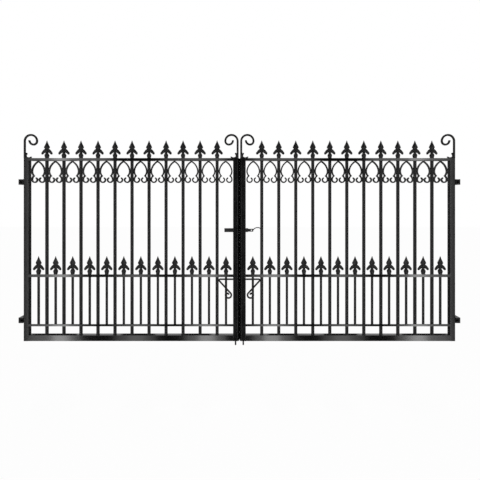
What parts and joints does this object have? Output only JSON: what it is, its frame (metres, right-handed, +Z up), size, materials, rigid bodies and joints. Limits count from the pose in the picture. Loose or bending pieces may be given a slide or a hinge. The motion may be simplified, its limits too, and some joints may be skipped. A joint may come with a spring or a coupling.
{
  "type": "iron gate",
  "caption": "Pair of black iron gate leaves with spear-topped bars, lyre arches, corner scrolls, a sliding latch and drop bolts, hung on wall hinges.",
  "frame": {"origin": "on the wall face of the left lower hinge bracket, at the middle of its plate", "axes": "+X along the gate to the right wall, +Y away from the viewer, the way the leaves open, +Z up"},
  "size_m": [3.658, 0.0683, 1.7733],
  "materials": {
    "frame_paint": "gloss",
    "cast_paint": "gloss",
    "fitting_paint": "gloss"
  },
  "bodies": {
    "wall_brackets": {"left_lower_hinge_bracket": "fitting_paint", "left_upper_hinge_bracket": "fitting_paint", "right_lower_hinge_bracket": "fitting_paint", "right_upper_hinge_bracket": "fitting_paint"},
    "left_leaf": {"latch_keeper": "fitting_paint", "left_arch_scrolls": "frame_paint", "left_bottom_rail": "frame_paint", "left_corner_leaves": "cast_paint", "left_dog_bars": "frame_paint", "left_dog_rail": "frame_paint", "left_dog_spearheads": "cast_paint", "left_drop_bolt_guides": "fitting_paint", "left_hinge_eyes": "fitting_paint", "left_hinge_stile": "frame_paint", "left_long_bars": "frame_paint", "left_meeting_bar": "frame_paint", "left_meeting_stile": "frame_paint", "left_middle_rail": "frame_paint", "left_stile_caps": "frame_paint", "left_top_rail": "frame_paint", "left_top_scrolls": "frame_paint", "left_top_spearheads": "cast_paint"},
    "right_leaf": {"latch_guide": "fitting_paint", "right_arch_scrolls": "frame_paint", "right_bottom_rail": "frame_paint", "right_corner_leaves": "cast_paint", "right_dog_bars": "frame_paint", "right_dog_rail": "frame_paint", "right_dog_spearheads": "cast_paint", "right_drop_bolt_guides": "fitting_paint", "right_hinge_eyes": "fitting_paint", "right_hinge_stile": "frame_paint", "right_long_bars": "frame_paint", "right_meeting_bar": "frame_paint", "right_meeting_stile": "frame_paint", "right_middle_rail": "frame_paint", "right_stile_caps": "frame_paint", "right_top_rail": "frame_paint", "right_top_scrolls": "frame_paint", "right_top_spearheads": "cast_paint"},
    "left_drop_bolt": {"left_drop_handle": "fitting_paint", "left_drop_rod": "fitting_paint"},
    "right_drop_bolt": {"right_drop_handle": "fitting_paint", "right_drop_rod": "fitting_paint"},
    "latch_bolt": {"latch_bolt": "fitting_paint"}
  },
  "joints": [
    {"name": "left_leaf_swing", "type": "hinge", "parent": "wall_brackets", "child": "left_leaf", "pos_m": [0.027, 0, 0], "axis": [0, 0, 1], "range_deg": [0, 90]},
    {"name": "right_leaf_swing", "type": "hinge", "parent": "wall_brackets", "child": "right_leaf", "pos_m": [3.631, 0, 0], "axis": [0, 0, -1], "range_deg": [0, 90]},
    {"name": "latch_slide", "type": "slide", "parent": "right_leaf", "child": "latch_bolt", "axis": [-1, 0, 0], "range_m": [0, 0.04]},
    {"name": "left_drop_bolt_lift", "type": "slide", "parent": "left_leaf", "child": "left_drop_bolt", "axis": [0, 0, 1], "range_m": [0, 0.06]},
    {"name": "right_drop_bolt_lift", "type": "slide", "parent": "right_leaf", "child": "right_drop_bolt", "axis": [0, 0, 1], "range_m": [0, 0.06]}
  ]
}
